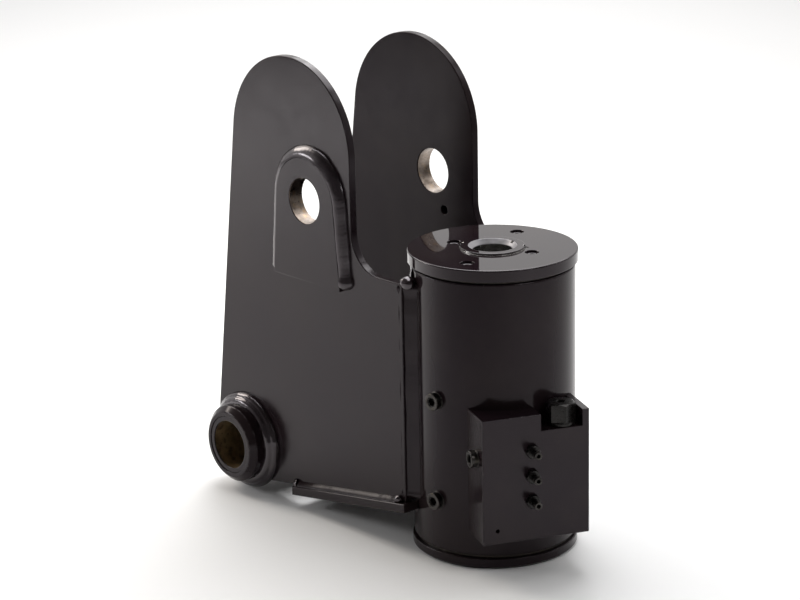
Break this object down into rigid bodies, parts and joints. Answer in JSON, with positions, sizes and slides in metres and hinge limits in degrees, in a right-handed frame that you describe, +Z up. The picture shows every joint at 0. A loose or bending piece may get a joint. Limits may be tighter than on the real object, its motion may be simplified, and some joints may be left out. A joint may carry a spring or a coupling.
{
  "type": "hydraulic rotary actuator with swing bracket",
  "caption": "Helical hydraulic rotary actuator welded to a two-ear bracket with a cross bush and valve block; its flange and end cap turn a boom or tool.",
  "frame": {"origin": "on the floor under the middle of the object's length and width; the barrel's axis is 130.5 mm ahead of it", "axes": "+X from the cross bush to the barrel, +Y from the left ear to the right ear, +Z up along the barrel's axis"},
  "size_m": [0.5421, 0.264, 0.5607],
  "materials": {
    "black_paint": "glossy black paint over welded and machined steel",
    "machined_steel": "turned bare steel",
    "dark_steel": "blackened and oiled fittings, some worn bright",
    "bronze": "bored bearing bronze",
    "seal": "matt seal rubber"
  },
  "bodies": {
    "housing": {"barrel_plug_lower": "dark_steel", "barrel_plug_upper": "dark_steel", "barrel_tube": "black_paint", "barrel_weld_left": "black_paint", "barrel_weld_right": "black_paint", "block_plug": "dark_steel", "boss_plate_left": "black_paint", "boss_plate_right": "black_paint", "bottom_plate": "black_paint", "bronze_bush_left": "bronze", "bronze_bush_right": "bronze", "cross_tube": "black_paint", "manifold_block": "black_paint", "ring_gear": "dark_steel", "side_plate_left": "black_paint", "side_plate_right": "black_paint", "test_point_lower": "dark_steel", "test_point_middle": "dark_steel", "test_point_upper": "dark_steel", "thrust_washer_lower": "bronze", "thrust_washer_upper": "bronze", "tube_collar_left": "black_paint", "tube_collar_right": "black_paint", "valve_cartridge": "dark_steel"},
    "shaft": {"shaft": "machined_steel", "end_cap": "black_paint", "lock_pin_1": "dark_steel", "lock_pin_2": "dark_steel", "cap_screw_1": "dark_steel", "cap_screw_2": "dark_steel", "cap_screw_3": "dark_steel", "cap_screw_4": "dark_steel", "wear_ring_lower": "bronze", "wear_ring_upper": "bronze", "shaft_seal": "seal", "cap_seal": "seal", "cap_o_ring": "seal"},
    "piston_carrier": {"piston_seal": "seal", "piston_guide_ring": "bronze"},
    "piston": {"piston_sleeve": "machined_steel", "piston_inner_seal": "seal"}
  },
  "joints": [
    {"name": "shaft_rotation", "type": "hinge", "parent": "housing", "child": "shaft", "pos_m": [0.1305, 0, 0], "axis": [0, 0, 1], "range_deg": [-90, 90]},
    {"name": "piston_slide", "type": "slide", "parent": "housing", "child": "piston_carrier", "axis": [0, 0, 1], "range_m": [-0.0401, 0.0401]},
    {"name": "piston_spin", "type": "hinge", "parent": "piston_carrier", "child": "piston", "pos_m": [0.1305, 0, 0], "axis": [0, 0, 1], "range_deg": [-45.1, 45.1]}
  ],
  "couplings": [
    {"joint": "piston_slide", "follows": "shaft_rotation", "m_per_rad": 0.025465},
    {"joint": "piston_spin", "follows": "shaft_rotation", "ratio": 0.5}
  ]
}
